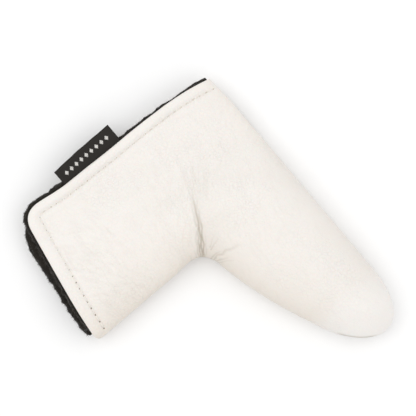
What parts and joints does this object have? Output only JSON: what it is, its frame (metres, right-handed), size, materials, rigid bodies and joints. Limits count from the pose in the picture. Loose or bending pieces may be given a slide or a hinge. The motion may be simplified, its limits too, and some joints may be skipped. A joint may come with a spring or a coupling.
{
  "type": "putter head cover",
  "caption": "L-shaped leather cover for a blade putter head, fleece lined, with a magnet-closed mouth down the heel side and over the neck, topstitching and a woven side label.",
  "frame": {"origin": "middle of the footprint, on the plane that the back panel lies on", "axes": "the cover lies on its back panel: +X points to the heel end and -X to the toe, +Y runs up the neck towards the shaft, +Z comes out of the front panel"},
  "size_m": [0.1574, 0.1244, 0.0275],
  "materials": {
    "leather": "white pebbled leather, satin",
    "fleece": "black fleece, dense short pile",
    "thread": "ivory sewing thread",
    "ribbon": "woven black ribbon",
    "tape": "grey woven tape",
    "magnet": "nickel-plated disc magnet"
  },
  "bodies": {
    "cover": {"back_leather_panel": "leather", "front_leather_body": "leather", "back_fleece_lining": "fleece", "front_fleece_lining_body": "fleece", "seam_thread": "thread", "back_topstitch_thread": "thread", "back_magnet_tape": "tape", "back_magnet_lower": "magnet", "back_magnet_upper": "magnet"},
    "flap": {"front_leather_flap": "leather", "front_fleece_lining_flap": "fleece", "front_topstitch_thread": "thread", "woven_label": "ribbon", "front_magnet_tape": "tape", "front_magnet_lower": "magnet", "front_magnet_upper": "magnet"}
  },
  "joints": [
    {"name": "mouth_flap_hinge", "type": "hinge", "parent": "cover", "child": "flap", "pos_m": [0.03407, -0.00145, 0.0209], "axis": [0.4332, -0.9013, 0], "range_deg": [0, 45]}
  ]
}
